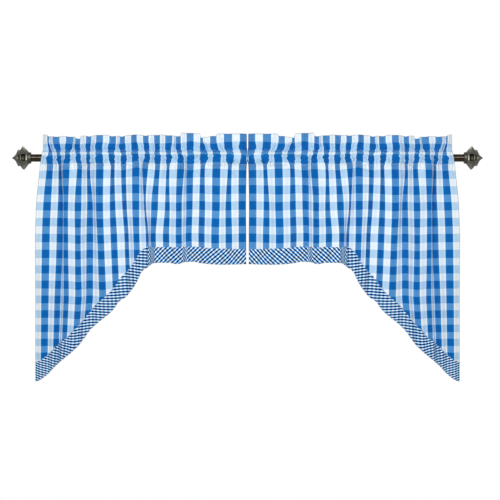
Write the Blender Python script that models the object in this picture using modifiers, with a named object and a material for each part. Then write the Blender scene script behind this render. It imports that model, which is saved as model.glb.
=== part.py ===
"""A pair of gathered swag valance panels, each edged with a bias border, on a curtain rod with finials.

Blender 4.5, metres, +Z up. The origin is the middle of the rod's axis, the rod runs along X, and the
panels' right side faces -Y. Sizes are held in millimetres and scaled once, where points are placed.
"""
import math
from collections import namedtuple

import bmesh
import bpy
import numpy as np

MM = 0.001

# Cloth
CHECK = 30.0  # side of one woven check, and the flat width of each light or dark stripe
THICK = 1.2  # cloth of the panels and of the border
LAYER = 0.9  # from the middle of a doubled heading to the middle of either layer
BORDER_GAP = 0.35  # between the panel and the border sewn over its lower edge
BORDER_REACH = 8.0  # the border's edge hangs this far below the panel's own
ROD_SEAT = 0.35  # between the rod and the folds that press on its front
COLUMNS_PER_CHECK = 2
SKIRT_ROWS = 4  # from the lower pocket seam to the border
LEAST_SHOWN = 4.0  # a check that is folded away still shows this much, so that the fold keeps a lip
TIP_HEIGHT = -822.0
TIP_DRAW = 0.12  # the tail's checks draw in towards its tip by this share

# Rod and finials
ROD_RADIUS = 14.0
ROD_SIDES = 24
COLLAR_START = 802.0  # from the middle of the valance to the finial's inner face
COLLAR_LENGTH = 12.0
COLLAR_RADIUS = 21.0
SOCKET_DEPTH = 20.0
SOCKET_PLAY = 0.35
ROD_REACH = COLLAR_START + SOCKET_DEPTH - 1.0

# Heights, from the rod's axis, at which the folds of a panel are set out, with how far its outer and
# inner edges lie from the middle of the valance there, and how deep the folds may run to either side
Level = namedtuple("Level", "height outer inner depth")
LEVELS = {
    "header": Level(70, 755.5, 2.5, 11),
    "rod": Level(0, 757.5, 3.5, 10),
    "under": Level(-59, 767.5, 5.5, 14),
    "middle": Level(-178, 781.5, 5.5, 17),
    "low": Level(-296, 785.0, 5.0, 18),
    "tail": Level(-515, 784.5, 5.0, 18),
}

# One row for each repeat of the check, from the outer edge in. Each pair is how much of the light stripe
# and of the dark stripe shows from the front at that level. side is the way the light stripe leans: 1
# comes forward and -1 falls back as it runs inwards, and the dark stripe leans the other way. top is the
# height of the heading's upper edge.
Fold = namedtuple("Fold", "side top header rod under middle low tail")
FOLDS = (
    Fold(1, 85, (20, 2), (17, 20), (25, 19), (27, 28), (27, 28), (24, 27)),
    Fold(1, 80, (11, 28), (17, 12), (26, 9), (27, 18), (26, 22), (23, 20)),
    Fold(1, 82, (23, 30), (17, 15), (4, 26), (1, 17), (5, 14), (15, 13)),
    Fold(1, 73, (6, 19), (25, 15), (28, 19), (25, 23), (26, 19), (29, 21)),
    Fold(1, 82, (20, 21), (24, 9), (21, 10), (23, 20), (24, 24), (18, 24)),
    Fold(1, 85, (16, 27), (26, 23), (20, 28), (11, 27), (17, 23), (25, 24)),
    Fold(-1, 83, (19, 30), (23, 21), (27, 14), (24, 23), (25, 26), (28, 26)),
    Fold(-1, 82, (9, 23), (24, 21), (19, 19), (24, 16), (26, 16), (26, 17)),
    Fold(-1, 87, (20, 23), (21, 22), (26, 29), (20, 28), (15, 25), (15, 25)),
    Fold(-1, 85, (20, 26), (21, 21), (8, 20), (16, 6), (24, 9), (24, 9)),
    Fold(-1, 85, (15, 27), (16, 21), (26, 19), (18, 27), (6, 19), (6, 19)),
    Fold(-1, 85, (14, 30), (23, 19), (26, 9), (27, 17), (27, 23), (27, 23)),
    Fold(-1, 82, (10, 21), (23, 16), (28, 27), (22, 22), (24, 24), (24, 24)),
    Fold(-1, 95, (19, 27), (17, 26), (6, 29), (16, 24), (13, 24), (13, 24)),
    Fold(1, 76, (25, 9), (22, 28), (27, 17), (24, 21), (25, 22), (25, 22)),
    Fold(1, 85, (26, 25), (21, 30), (27, 30), (26, 29), (25, 29), (25, 29)),
    Fold(1, 93, (27, 30), (14, 30), (25, 16), (21, 21), (24, 22), (24, 22)),
    Fold(1, 91, (28, 25), (28, 20), (26, 29), (27, 27), (25, 27), (25, 27)),
)

# The lower edge as it hangs: distance out from the middle, height, and how much of the border shows
# above it there
Hem = namedtuple("Hem", "out height border")
HEM = (
    Hem(3, -391, 52),
    Hem(122, -393, 55),
    Hem(174, -386, 53),
    Hem(226, -383, 50),
    Hem(267, -389, 54),
    Hem(322, -386, 53),
    Hem(359, -397, 62),
    Hem(387, -413, 70),
    Hem(401, -435, 77),
    Hem(429, -481, 86),
    Hem(486, -548, 86),
    Hem(539, -594, 80),
    Hem(578, -630, 77),
    Hem(610, -676, 81),
    Hem(652, -722, 84),
    Hem(705, -761, 72),
    Hem(734, -796, 76),
    Hem(786, -824, 70),
)

# The path of the cloth from the lower pocket seam up over the front of the rod, and from the heading's
# top down behind the rod to the same seam: height, and how far behind the rod's axis
Turn = namedtuple("Turn", "height back")
FRONT_TURNS = (Turn(-28, -23.5), Turn(0, -24), Turn(15, -23.5), Turn(22, -12), Turn(27, 0), Turn(55, 0))
BACK_TURNS = (Turn(27, 0), Turn(21, 16), Turn(2, 25.5), Turn(-14, 24), Turn(-25, 0), Turn(-28, -23.5))
SKIRT_TURNS = (Turn(-28, -23.5), Turn(-60, -21), Turn(-178, -17), Turn(-296, -14), Turn(-515, -11), Turn(-830, -7))

# A finial's square stages: distance from its inner face, and half its diagonal
Stage = namedtuple("Stage", "along reach")
STAGES = (
    Stage(11.5, 20), Stage(19, 25), Stage(28, 41), Stage(30.5, 42.5), Stage(40, 30), Stage(42, 25),
    Stage(45, 25), Stage(47, 29.5), Stage(49, 28.5), Stage(56, 16), Stage(63, 8), Stage(70, 1.5),
)


def clear_scene():
    for thing in list(bpy.data.objects):
        bpy.data.objects.remove(thing, do_unlink=True)


def new_collection(name):
    collection = bpy.data.collections.new(name)
    bpy.context.scene.collection.children.link(collection)
    return collection


def new_material(name, colour, roughness, metallic):
    material = bpy.data.materials.new(name)
    material.use_nodes = True
    shader = material.node_tree.nodes["Principled BSDF"]
    shader.inputs["Base Color"].default_value = (*colour, 1.0)
    shader.inputs["Roughness"].default_value = roughness
    shader.inputs["Metallic"].default_value = metallic
    return material


def new_object(name, mesh_source, collection, material):
    """An object made of a bmesh, which is freed."""
    mesh = bpy.data.meshes.new(name)
    mesh_source.to_mesh(mesh)
    mesh_source.free()
    mesh.materials.append(material)
    thing = bpy.data.objects.new(name, mesh)
    collection.objects.link(thing)
    return thing


def curve_through(knots, values, at):
    """A smooth curve through values at rising knots, read at one place, flat beyond its ends."""
    knots = np.asarray(knots, float)
    values = np.asarray(values, float)
    at = min(max(at, knots[0]), knots[-1])
    i = min(int(np.searchsorted(knots, at, side="right")) - 1, len(knots) - 2)
    span = knots[i + 1] - knots[i]
    t = (at - knots[i]) / span
    slopes = np.gradient(values, knots, axis=0)
    rise = values[i] * (1 + 2 * t) * (1 - t) ** 2 + values[i + 1] * t * t * (3 - 2 * t)
    bend = slopes[i] * t * (1 - t) ** 2 - slopes[i + 1] * t * t * (1 - t)
    return rise + span * bend


RISING = sorted(LEVELS, key=lambda name: LEVELS[name].height)
LEVEL_HEIGHTS = [LEVELS[name].height for name in RISING]
LEVEL_EDGES = [(LEVELS[name].outer, LEVELS[name].inner, LEVELS[name].depth) for name in RISING]
SHOWN = [[shown for fold in FOLDS for shown in getattr(fold, name)] for name in RISING]
LEANS = np.array([lean for fold in FOLDS for lean in (fold.side, -fold.side)])
CHECKS = 2 * len(FOLDS)
COLUMNS = CHECKS * COLUMNS_PER_CHECK


def fold_line(height):
    """Where the edges of the checks lie at a height: distance out from the middle, and depth."""
    shown = np.clip(curve_through(LEVEL_HEIGHTS, SHOWN, height), LEAST_SHOWN, CHECK)
    outer, inner, depth = curve_through(LEVEL_HEIGHTS, LEVEL_EDGES, height)
    travelled = np.concatenate(([0.0], np.cumsum(shown)))
    out = outer - travelled * (outer - inner) / travelled[-1]
    tail = min(max((LEVELS["tail"].height - height) / (LEVELS["tail"].height - TIP_HEIGHT), 0), 1)
    out = outer + (out - outer) * (1 - TIP_DRAW * tail)
    steps = -LEANS * np.sqrt(CHECK ** 2 - shown ** 2)
    wave = np.concatenate(([0.0], np.cumsum(steps)))
    reach = 4
    padded = np.pad(wave, reach, mode="edge")
    drift = np.convolve(padded, np.ones(2 * reach + 1) / (2 * reach + 1), mode="valid")
    return out, depth * np.tanh((wave - drift) / depth)


def cloth_point(column, height):
    """Distance out from the middle, and depth of the fold, of a column of the cloth at a height."""
    out, wave = fold_line(height)
    along = column / COLUMNS_PER_CHECK
    i = min(int(along), CHECKS - 1)
    t = along - i
    ease = (1 - math.cos(math.pi * t)) / 2
    return out[i] + (out[i + 1] - out[i]) * t, wave[i] + (wave[i + 1] - wave[i]) * ease


def read_table(table, key, field, at):
    rows = sorted(table, key=lambda row: getattr(row, key))
    return float(curve_through([getattr(row, key) for row in rows], [getattr(row, field) for row in rows], at))


def hem_of(column):
    """The height of the border's lower edge on a column, and how much of the border shows above it."""
    height = HEM[0].height
    for _ in range(12):
        out, _ = cloth_point(column, height)
        height = (height + read_table(HEM, "out", "height", out)) / 2
    return height, read_table(HEM, "out", "border", out)


def top_of(column):
    middles = [2 * i + 1.0 for i in range(len(FOLDS))]
    return float(curve_through(middles, [fold.top for fold in FOLDS], column / COLUMNS_PER_CHECK))


def row_points(heights, backs):
    """One row of the cloth's middle surface: distance out, depth and height of each column."""
    points = []
    for column, (height, back) in enumerate(zip(heights, backs)):
        out, wave = cloth_point(column, height)
        points.append((out, back + wave, height))
    return np.array(points)


def moved_forward(points, distance):
    """A row moved square to its folds towards the front, a little further where a fold is sharp."""
    along = np.diff(points[:, :2], axis=0)
    along /= np.linalg.norm(along, axis=1)[:, None]
    facing = np.stack((-along[:, 1], along[:, 0]), axis=1)
    before = np.vstack((facing[:1], facing))
    after = np.vstack((facing, facing[-1:]))
    total = before + after
    total /= np.linalg.norm(total, axis=1)[:, None]
    sharp = np.clip(np.sum(total * before, axis=1), 0.4, 1)
    moved = points.copy()
    moved[:, :2] += total * (distance / sharp)[:, None]
    return moved


def border_heights(hems, borders, share):
    """Heights at a share of the way from the border's upper edge to where the panel's own edge lies."""
    return [hem + border + share * (BORDER_REACH - border) for hem, border in zip(hems, borders)]


def skirt_backs(heights):
    return [read_table(SKIRT_TURNS, "height", "back", height) for height in heights]


def cloth_rows():
    """The rows of one panel, from its lower edge up the front and down the back, and its border's rows."""
    columns = range(COLUMNS + 1)
    hems, borders = zip(*(hem_of(column) for column in columns))
    seam = FRONT_TURNS[0].height
    panel, border = [], []
    border_forward = LAYER + THICK + BORDER_GAP
    border.append(moved_forward(row_points(hems, skirt_backs(hems)), border_forward))
    for share in (1.0, 0.5, 0.0):
        heights = border_heights(hems, borders, share)
        row = row_points(heights, skirt_backs(heights))
        panel.append(moved_forward(row, LAYER))
        border.append(moved_forward(row, border_forward))
    upper = border_heights(hems, borders, 0.0)
    for step in range(1, SKIRT_ROWS):
        share = step / SKIRT_ROWS
        heights = [height + (seam - height) * share for height in upper]
        panel.append(moved_forward(row_points(heights, skirt_backs(heights)), LAYER))
    for turn in FRONT_TURNS:
        heights = [turn.height for _ in columns]
        row = moved_forward(row_points(heights, [turn.back for _ in columns]), LAYER)
        if turn.height == 0:
            row[:, 1] -= row[:, 1].max() + THICK / 2 + ROD_RADIUS + ROD_SEAT
        panel.append(row)
    tops = [top_of(column) for column in columns]
    flat = [0.0 for _ in columns]
    shoulders = [top - LAYER for top in tops]
    panel.append(moved_forward(row_points(shoulders, flat), LAYER))
    panel.append(row_points(tops, flat))
    panel.append(moved_forward(row_points(shoulders, flat), -LAYER))
    for turn in BACK_TURNS:
        heights = [turn.height for _ in columns]
        panel.append(moved_forward(row_points(heights, [turn.back for _ in columns]), -LAYER))
    return panel, border


def cloth_sheet(name, rows, hand, collection, material):
    """A sheet laid through rows of points and given its thickness. hand is -1 on the left, 1 on the right."""
    sheet = bmesh.new()
    bmesh.ops.create_grid(sheet, x_segments=COLUMNS, y_segments=len(rows) - 1, size=1.0)
    for vertex in sheet.verts:
        column = round((vertex.co.x + 1) / 2 * COLUMNS)
        row = round((vertex.co.y + 1) / 2 * (len(rows) - 1))
        out, back, height = rows[row][column]
        vertex.co = (hand * out * MM, back * MM, height * MM)
    for face in sheet.faces:
        face.smooth = True
    cloth = new_object(name, sheet, collection, material)
    body = cloth.modifiers.new("thickness", "SOLIDIFY")
    body.thickness = THICK * MM
    body.offset = 0.0
    return cloth


def lay_along_x(source, start):
    """Turns a shape built up along Z so that it runs along +X, from a distance out."""
    for vertex in source.verts:
        x, y, z = vertex.co
        vertex.co = (z + start * MM, y, -x)


def rod_body(collection, material):
    rod = bmesh.new()
    bmesh.ops.create_cone(
        rod, cap_ends=True, segments=ROD_SIDES, radius1=ROD_RADIUS * MM, radius2=ROD_RADIUS * MM,
        depth=2 * ROD_REACH * MM,
    )
    half_side = math.pi / ROD_SIDES
    for vertex in rod.verts:  # a flat side faces down, where the rod rests in its brackets
        x, y, z = vertex.co
        vertex.co = (x * math.cos(half_side) - y * math.sin(half_side),
                     x * math.sin(half_side) + y * math.cos(half_side), z)
    lay_along_x(rod, 0.0)
    return new_object("rod", rod, collection, material)


def cylinder(name, radius, start, end, sides, collection, material):
    shape = bmesh.new()
    bmesh.ops.create_cone(
        shape, cap_ends=True, segments=sides, radius1=radius * MM, radius2=radius * MM,
        depth=(end - start) * MM,
    )
    lay_along_x(shape, (start + end) / 2)
    return new_object(name, shape, collection, material)


def boolean(target, tool, operation):
    step = target.modifiers.new(operation.lower(), "BOOLEAN")
    step.operation = operation
    step.solver = "EXACT"
    step.object = tool


def finial_stages():
    """The square stages as one body: a square, corner up, drawn out stage by stage to the point."""
    body = bmesh.new()
    first = STAGES[0]
    bmesh.ops.create_circle(body, cap_ends=True, segments=4, radius=first.reach * MM)
    bmesh.ops.translate(body, verts=body.verts[:], vec=(0, 0, first.along * MM))
    front = next(iter(body.faces))
    for before, after in zip(STAGES, STAGES[1:]):
        grown = bmesh.ops.extrude_face_region(body, geom=[front, *front.edges, *front.verts])
        front = next(item for item in grown["geom"] if isinstance(item, bmesh.types.BMFace))
        growth = after.reach / before.reach
        bmesh.ops.scale(body, verts=front.verts[:], vec=(growth, growth, 1))
        bmesh.ops.translate(body, verts=front.verts[:], vec=(0, 0, (after.along - before.along) * MM))
    bmesh.ops.recalc_face_normals(body, faces=body.faces[:])
    lay_along_x(body, COLLAR_START)
    return body


def finial(name, hand, collection, cutters, material):
    body = new_object(name, finial_stages(), collection, material)
    collar_end = COLLAR_START + COLLAR_LENGTH + 2.0
    collar = cylinder(name + "_collar", COLLAR_RADIUS, COLLAR_START, collar_end, 24, cutters, material)
    socket = cylinder(name + "_socket", ROD_RADIUS + SOCKET_PLAY, COLLAR_START - 5.0,
                      COLLAR_START + SOCKET_DEPTH, 24, cutters, material)
    boolean(body, collar, "UNION")
    boolean(body, socket, "DIFFERENCE")
    for thing in (body, collar, socket):
        if hand < 0:
            thing.rotation_euler = (0, 0, math.pi)
    for guide in (collar, socket):
        guide.hide_render = True
        guide.display_type = "WIRE"
    return body


def main():
    clear_scene()
    valance = new_collection("swag_valance")
    cutters = new_collection("swag_valance_cutters")
    gingham = new_material("blue gingham cotton", (0.10, 0.33, 0.75), 0.9, 0.0)
    small_gingham = new_material("small navy gingham cotton", (0.12, 0.22, 0.48), 0.9, 0.0)
    bronze = new_material("dark bronze enamel on steel", (0.02, 0.014, 0.01), 0.35, 0.8)
    pewter = new_material("dark pewter plated casting", (0.12, 0.12, 0.105), 0.45, 0.9)
    panel_rows, border_rows = cloth_rows()
    for side, hand in (("left", -1), ("right", 1)):
        cloth_sheet("panel_" + side, panel_rows, hand, valance, gingham)
        cloth_sheet("border_" + side, border_rows, hand, valance, small_gingham)
        finial("finial_" + side, hand, valance, cutters, pewter)
    rod_body(valance, bronze)


main()
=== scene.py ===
import math

import bmesh
import bpy
import numpy as np
from mathutils import Matrix, Vector


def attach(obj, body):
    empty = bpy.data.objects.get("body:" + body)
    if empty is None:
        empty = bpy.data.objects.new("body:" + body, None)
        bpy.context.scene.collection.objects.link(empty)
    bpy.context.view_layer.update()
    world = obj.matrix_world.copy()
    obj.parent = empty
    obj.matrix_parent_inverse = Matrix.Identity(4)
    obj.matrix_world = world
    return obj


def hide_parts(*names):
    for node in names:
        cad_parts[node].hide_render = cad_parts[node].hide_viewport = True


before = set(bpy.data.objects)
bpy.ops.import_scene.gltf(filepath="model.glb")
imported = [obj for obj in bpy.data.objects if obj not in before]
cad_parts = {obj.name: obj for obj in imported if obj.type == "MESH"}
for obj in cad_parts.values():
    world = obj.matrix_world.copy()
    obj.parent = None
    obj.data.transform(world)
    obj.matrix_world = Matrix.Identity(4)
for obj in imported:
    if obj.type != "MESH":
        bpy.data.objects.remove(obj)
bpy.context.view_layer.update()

# Sizes are in millimetres and become metres when a mesh is made. The middle of the rod is the origin and the
# room is towards -Y. Each panel is worked out in "out", the distance from the middle of the window, and hand
# (-1 left, 1 right) puts it on its side.
millimetre = 0.001


def linearColour(hexText):
    # sRGB hex to the linear colour that the shader wants
    parts = [int(hexText[i : i + 2], 16) / 255 for i in (1, 3, 5)]
    return [c / 12.92 if c <= 0.04045 else ((c + 0.055) / 1.055) ** 2.4 for c in parts] + [1.0]


def addNode(tree, kind, inputs=None, **settings):
    # one node with its options set, and its sockets filled, or linked to a socket or a node's own result; a
    # text is a colour in hex
    node = tree.nodes.new("ShaderNode" + kind)
    for name, value in settings.items():
        setattr(node, name, value)
    for name, value in (inputs or {}).items():
        if isinstance(value, str):
            value = linearColour(value)
        elif isinstance(value, bpy.types.Node):
            value = next(output for output in value.outputs if output.enabled)
        if isinstance(value, bpy.types.NodeSocket):
            tree.links.new(value, node.inputs[name])
        else:
            node.inputs[name].default_value = value
    return node


def addMath(tree, operation, *values, **settings):
    return addNode(tree, "Math", dict(enumerate(values)), operation=operation, **settings)


def addMix(tree, share, first, second, **settings):
    # a mix of two colours, which are a mix node's sockets 6 and 7
    return addNode(tree, "Mix", {0: share, 6: first, 7: second}, data_type="RGBA", **settings)


def addNoise(tree, place, scale, detail, distortion=0.0):
    # soft noise; a pair of scales stretches it, one for each direction of the cloth
    if isinstance(scale, tuple):
        place, scale = addNode(tree, "Mapping", {"Vector": place, "Scale": (*scale, 1.0)}), 1.0
    inputs = {"Vector": place, "Scale": scale, "Detail": detail, "Distortion": distortion}
    return addNode(tree, "TexNoise", inputs)


def addBump(tree, height, strength, distance, **inputs):
    return addNode(tree, "Bump", {"Height": height, "Strength": strength, "Distance": distance, **inputs})


def startMaterial(name):
    material = bpy.data.materials.new(name)
    material.use_nodes = True
    material.node_tree.nodes.clear()
    return material, material.node_tree


def finishMaterial(material, inputs):
    shader = addNode(material.node_tree, "BsdfPrincipled", inputs)
    addNode(material.node_tree, "OutputMaterial", {"Surface": shader})
    return material


# Where along the flat cloth, in metres from its top edge, the gathers over the rod start to show and are at
# their fullest, and where the top row of stitches is and how far from it the drawn-out yarns reach.
drawnUp = {"from": 0.27, "full": 0.15, "stitches": 0.105, "reach": 0.024, "core": 0.01}


def makeGingham(name, cloth):
    # Yarn-dyed plain weave cotton: four tones where white and blue yarns cross, slubs in the yarn, fine creases where
    # it is gathered with painted shade in them and over the gathers, and a matt face with a little sheen.
    material, tree = startMaterial(name)
    flat = addNode(tree, "UVMap", uv_map="flatCloth")
    # the edge of a stripe wanders by a yarn or so
    shake = addNoise(tree, flat, 420.0, 1.0)
    jitter = addMath(tree, "MULTIPLY_ADD", shake, 0.0012, -0.0006)
    split = addNode(tree, "SeparateXYZ", {0: flat})
    stripes = []
    darkParts = (0, "GREATER_THAN", 1 - cloth["warpShare"]), (1, "LESS_THAN", cloth["weftShare"])
    for direction, test, edge in darkParts:
        moved = addMath(tree, "ADD", split.outputs[direction], jitter)
        repeats = addMath(tree, "DIVIDE", moved, 2 * cloth["check"] * millimetre)
        part = addMath(tree, "FRACT", repeats)
        stripes.append(addMath(tree, test, part, edge))
    warpDark, weftDark = stripes
    white, pale, middle, deep = (cloth[tone] for tone in ("white", "pale", "middle", "deep"))
    # painted shade of the tight gathers: where the cloth is gathered over the rod its middle tone is darkened towards
    # the deep one
    fade = {"Value": split.outputs[1], "From Min": drawnUp["from"], "From Max": drawnUp["full"]}
    gathered = addNode(tree, "MapRange", fade, interpolation_type="SMOOTHSTEP")
    gatherShadeShare = addMath(tree, "MULTIPLY", gathered, cloth["gatherShadeShare"])
    gatherShadedMiddle = addMix(tree, gatherShadeShare, middle, deep)
    lightWarp = addMix(tree, weftDark, white, pale)
    darkWarp = addMix(tree, weftDark, gatherShadedMiddle, deep)
    # and just under the top row of stitches flecks of paler yarn are drawn out between them
    fromSeam = addMath(tree, "SUBTRACT", split.outputs[1], drawnUp["stitches"])
    distance = addMath(tree, "ABSOLUTE", fromSeam)
    seamSpan = {"Value": distance, "From Min": drawnUp["reach"], "From Max": drawnUp["core"]}
    fleckNoise = addNoise(tree, flat, (230.0, 170.0), 1.0)
    fleckSpan = {"Value": fleckNoise, "From Min": 0.5, "From Max": 0.62, "To Max": cloth["flecks"]}
    spans = [addNode(tree, "MapRange", span) for span in (seamSpan, fleckSpan)]
    fleckShare = addMath(tree, "MULTIPLY", *spans)
    flecked = addMix(tree, fleckShare, darkWarp, cloth["drawn"])
    tone = addMix(tree, warpDark, lightWarp, flecked)
    # yarns over and under each other, drawn several times coarser than they are so that they show
    waves = []
    for direction in (0, 1):
        phase = addMath(tree, "MULTIPLY", split.outputs[direction], math.pi / (cloth["thread"] * millimetre))
        waves.append(addMath(tree, "SINE", phase))
    crossing = addMath(tree, "MULTIPLY", *waves)
    over = addMath(tree, "MULTIPLY_ADD", crossing, 0.5, 0.5)
    warpYarn = addMix(tree, warpDark, white, deep)
    weftYarn = addMix(tree, weftDark, white, deep)
    yarn = addMix(tree, over, weftYarn, warpYarn)
    woven = addMix(tree, cloth["yarnShare"], tone, yarn)
    # slubs: long thin streaks both ways, drawn some four yarns wide so that they show, and a slow drift of
    # the dye
    streaks = [addNoise(tree, flat, scale, 3.0) for scale in ((320.0, 26.0), (26.0, 320.0))]
    slub = addMath(tree, "ADD", *streaks)
    slubLight = addMath(tree, "MULTIPLY_ADD", slub, cloth["slub"], 1.0 - cloth["slub"])
    drift = addNoise(tree, flat, 9.0, 2.0)
    driftLight = addMath(tree, "MULTIPLY_ADD", drift, 0.10, 0.95)
    light = addMath(tree, "MULTIPLY", slubLight, driftLight)
    shaded = addNode(tree, "HueSaturation", {"Value": light, "Color": woven})
    roundness = addMath(tree, "MULTIPLY_ADD", crossing, 0.6, slub)
    # fine creases in the gathered part, running down the cloth and fading below
    creases = addNoise(tree, flat, (150.0, 62.0), 2.0, distortion=0.6)
    creaseDepth = addMath(tree, "MULTIPLY", creases, gathered)
    # the creases shade themselves, a cool shade that lies deepest in their bottoms
    creaseSpan = {"Value": creases, "From Min": 0.62, "From Max": 0.38, "To Max": cloth["creaseShade"]}
    creaseFill = addNode(tree, "MapRange", creaseSpan)
    creaseShade = addMath(tree, "MULTIPLY", creaseFill, gathered)
    creased = addMix(tree, creaseShade, shaded, "#C6DFE6", blend_type="MULTIPLY")
    crumple = addBump(tree, creaseDepth, cloth["crumple"], 0.006)
    bump = addBump(tree, roundness, 0.35, 0.0006, Normal=crumple)
    return finishMaterial(material, {
        "Base Color": creased, "Normal": bump, "Roughness": 0.9, "IOR": 1.53,
        "Specular IOR Level": 0.12, "Sheen Weight": 0.03, "Sheen Roughness": 0.45,
    })


def makeThread():
    # Spun polyester sewing thread: pale, slightly lustrous, with the twist of its ply.
    material, tree = startMaterial("spunPolyesterThread")
    place = addNode(tree, "TexCoord").outputs["Object"]
    twist = addNoise(tree, place, 1800.0, 1.0)
    colour = addMix(tree, twist, "#A9C2E4", "#DCE7F7")
    bump = addBump(tree, twist, 0.3, 0.0003)
    return finishMaterial(material, {
        "Base Color": colour, "Normal": bump, "Roughness": 0.55, "Sheen Weight": 0.1,
    })


def makeEnamel():
    # Baked oil-rubbed bronze enamel on steel tube: near black, warm where it catches the light.
    material, tree = startMaterial("bakedBronzeEnamel")
    place = addNode(tree, "TexCoord").outputs["Object"]
    mottle = addNoise(tree, place, 160.0, 4.0)
    grain = addNoise(tree, place, 1400.0, 1.0)
    colour = addMix(tree, mottle, "#140D07", "#1E150D")
    rough = addMath(tree, "MULTIPLY_ADD", mottle, 0.06, 0.14)
    bump = addBump(tree, grain, 0.05, 0.0002)
    return finishMaterial(material, {
        "Base Color": colour, "Normal": bump, "Roughness": rough, "IOR": 1.5,
        "Specular Tint": "#FFEBD4",
    })


def makePewter():
    # Die-cast zinc with an antique pewter plate: olive grey with soft mottling, darker in its hollows and on the collar
    # with patina and painted shade, brighter on worn corners, and a painted highlight where the light falls on the
    # front of the flare.
    material, tree = startMaterial("castAntiquePewter")
    place = addNode(tree, "TexCoord").outputs["Object"]
    patches = addNoise(tree, place, 70.0, 5.0)
    grain = addNoise(tree, place, 900.0, 3.0)
    plate = addMix(tree, patches, "#7C7C72", "#A09E95")
    wearAndPaintedLight = addNode(tree, "Attribute", attribute_name="wearAndPaintedLight").outputs["Fac"]
    # below 0 patina and painted shade darken the plate, above 0 wear and a painted highlight brighten it
    patinaAndShadeShare = addMath(tree, "MULTIPLY", wearAndPaintedLight, -1.0, use_clamp=True)
    wornAndLitShare = addMath(tree, "MULTIPLY", wearAndPaintedLight, 1.0, use_clamp=True)
    darkened = addMix(tree, patinaAndShadeShare, plate, "#3E3F35")
    colour = addMix(tree, wornAndLitShare, darkened, "#918F86")
    rough = addMath(tree, "MULTIPLY_ADD", grain, 0.2, 0.36)
    bump = addBump(tree, grain, 0.25, 0.0004)
    return finishMaterial(material, {
        "Base Color": colour, "Normal": bump, "Roughness": rough, "Metallic": 1.0,
    })


def makeFloorPaint():
    # Matt painted board: pale and even, a faint roller texture.
    material, tree = startMaterial("mattFloorPaint")
    place = addNode(tree, "TexCoord").outputs["Object"]
    roller = addNoise(tree, place, 60.0, 3.0)
    colour = addMix(tree, roller, "#CFCECB", "#D8D7D4")
    return finishMaterial(material, {"Base Color": colour, "Roughness": 0.9})


# The panel: a gathered curtain of 30 mm gingham. Columns run from the outer side edge inwards, a check
# shows as wide as the folds let it. Each level is a height with its outer edge, inner edge and fold depth.
panel = {
    "check": 30.0,
    "columnsPerCheck": 10,
    "thickness": 0.7,
    "heights": (61, 39, 16.5, -2, -32, -180, -298, -517),
    "outerEdge": (757, 757, 757.5, 762, 765, 780.5, 784.5, 784.5),
    "innerEdge": (3, 2.6, 0.9, 0.5, 3.5, 6, 5, 5),
    "foldDepth": (11, 11, 9, 10, 12, 17, 18, 18),
    "leastShown": 2.0,
    "driftReach": 4,  # the folds swing about their mean over so many check edges either side
    "tipHeight": -824.0,
    "tipDraw": 0.12,
    "tailFrom": -300.0,  # below this height the rows of checks close up, by this much
    "tailCloses": 2.0e-4,
    "checkStart": 33.9,  # how far above the top edge the rows of checks would start
    "tuckStep": 8.0,  # neighbouring tops that differ by more than this meet at a tuck
    "tuckShare": 0.25,
    "slopeShare": 0.9,
    "skirtRows": 56,
    "skirtGrading": 1.35,
    "hemLift": 1.5,
    "headerRows": 12,
    "layerHalf": 0.5,
    "headerBulge": 1.5,
    "headerCloses": 0.93,
    "sideHemColumns": 4,
    "sideHemGap": 1.2,
    "rodClear": 0.8,
    "hemClear": 0.2,
    "edgeTurn": 6.5,  # at the rod the inner edge is turned this much further round
    "edgeTurnSpan": (-12.6, -3.6),
    "edgeTurnHeight": -3.0,
    "edgeTurnSpread": 13.0,
    "flatWidth": 1.104,
    "flatLength": 1.135,
    "flatArea": 0.85,
}

# Heights at which a sag is given, with the place in a fold's row of four sags that holds there.
sagLevels = ((41, 0), (24, 0), (9, 1), (-22, 1), (-102, 2), (-302, 3))

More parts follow.
